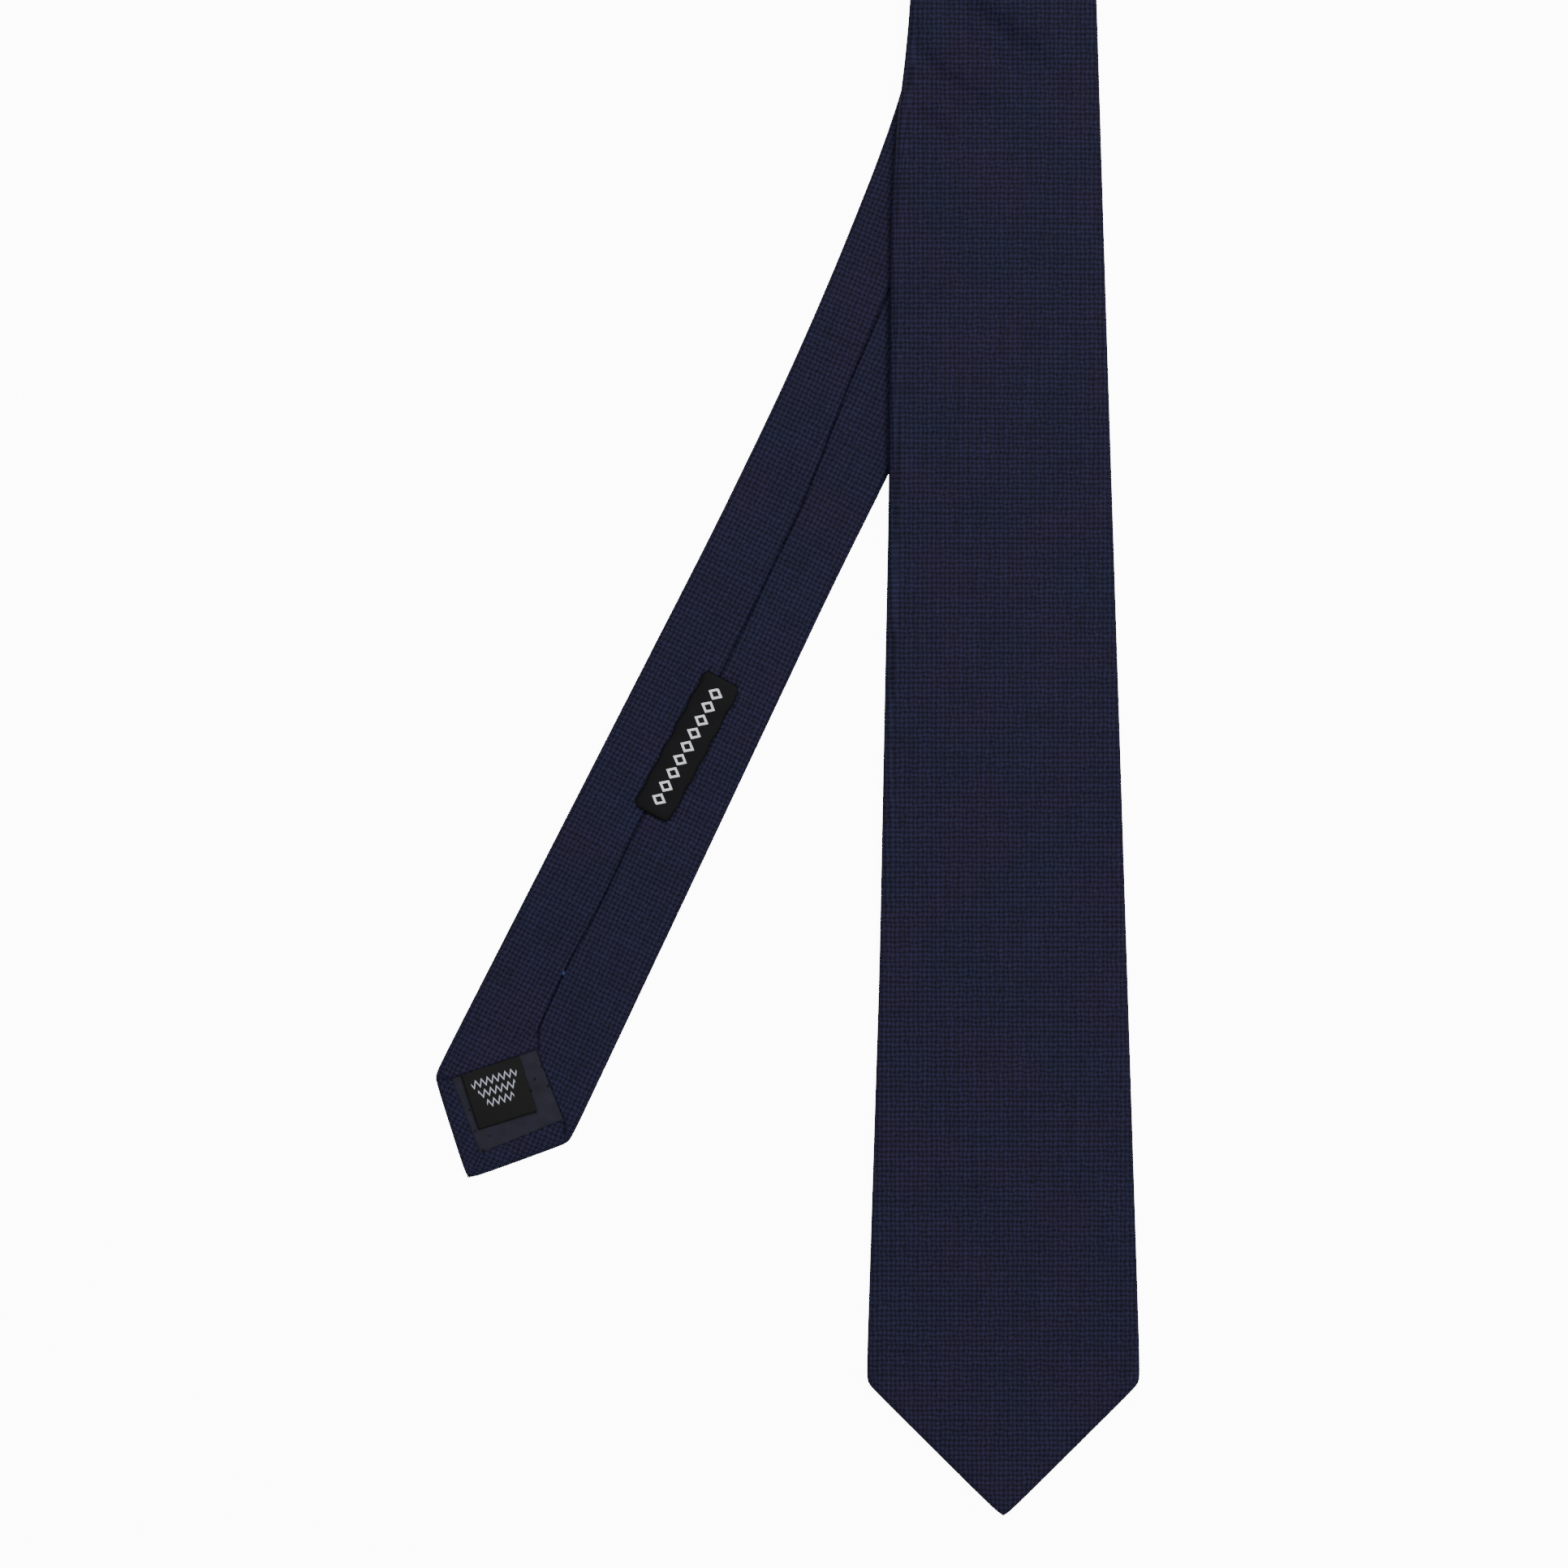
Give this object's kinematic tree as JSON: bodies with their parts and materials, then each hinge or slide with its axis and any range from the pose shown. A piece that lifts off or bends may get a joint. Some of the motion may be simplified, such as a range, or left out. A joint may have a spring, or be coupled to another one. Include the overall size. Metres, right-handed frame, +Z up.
{
  "type": "necktie",
  "caption": "Pointed silk necktie laid flat and folded over at the neck: blade face up, tail back up with its seam, keeper loop, tipping and sewn labels.",
  "frame": {"origin": "centre of the laid tie's outline, on the surface that it lies on", "axes": "+Y from the blade's point towards the fold at the neck, +Z up out of the surface, +X to the right of the blade; the tail leaves to -X"},
  "size_m": [0.1942, 0.7714, 0.007],
  "materials": {
    "shell_silk": "dark navy basket-weave silk with a low sheen",
    "tipping_satin": "dark blue-grey satin with small darker pin dots",
    "interlining_wool": "unbleached brushed wool",
    "woven_label_satin": "black woven label with a plain pale woven motif",
    "care_label_satin": "black satin ribbon with plain pale lines",
    "thread": "dark navy sewing thread"
  },
  "bodies": {
    "neck": {"neck_shell": "shell_silk", "neck_interlining": "interlining_wool", "neck_fold_shell": "shell_silk", "neck_fold_interlining": "interlining_wool", "tail_bend_shell": "shell_silk", "tail_bend_interlining": "interlining_wool", "neck_slip_stitches": "thread", "neck_tail_join_stitches": "thread"},
    "blade": {"blade_shell": "shell_silk", "blade_interlining": "interlining_wool", "blade_tipping": "tipping_satin", "blade_tipping_stitches": "thread", "blade_slip_stitches": "thread", "blade_bar_tack": "thread", "keeper_loop": "shell_silk", "keeper_loop_stitches": "thread", "blade_neck_join_stitches": "thread"},
    "tail": {"tail_shell": "shell_silk", "tail_interlining": "interlining_wool", "tail_tipping": "tipping_satin", "tail_tipping_stitches": "thread", "tail_slip_stitches": "thread", "tail_bar_tack": "thread", "woven_label": "woven_label_satin", "woven_label_stitches": "thread", "care_label_stitches": "thread"},
    "care_label": {"care_label": "care_label_satin"}
  },
  "joints": [
    {"name": "neck_fold", "type": "hinge", "parent": "neck", "child": "blade", "pos_m": [0.05959, 0.38215, 0.0035], "axis": [-1, 0, 0], "range_deg": [0, 180], "deforming": ["neck_fold_shell", "neck_fold_interlining"]},
    {"name": "tail_swing", "type": "hinge", "parent": "neck", "child": "tail", "pos_m": [0.05959, 0.02361, 0.0016], "axis": [0, 0, -1], "range_deg": [0, 20], "deforming": ["tail_bend_shell", "tail_bend_interlining"]},
    {"name": "care_label_flap", "type": "hinge", "parent": "tail", "child": "care_label", "pos_m": [-0.08177, -0.26162, 0.00365], "axis": [-0.9521, -0.3057, 0], "range_deg": [0, 150]}
  ]
}
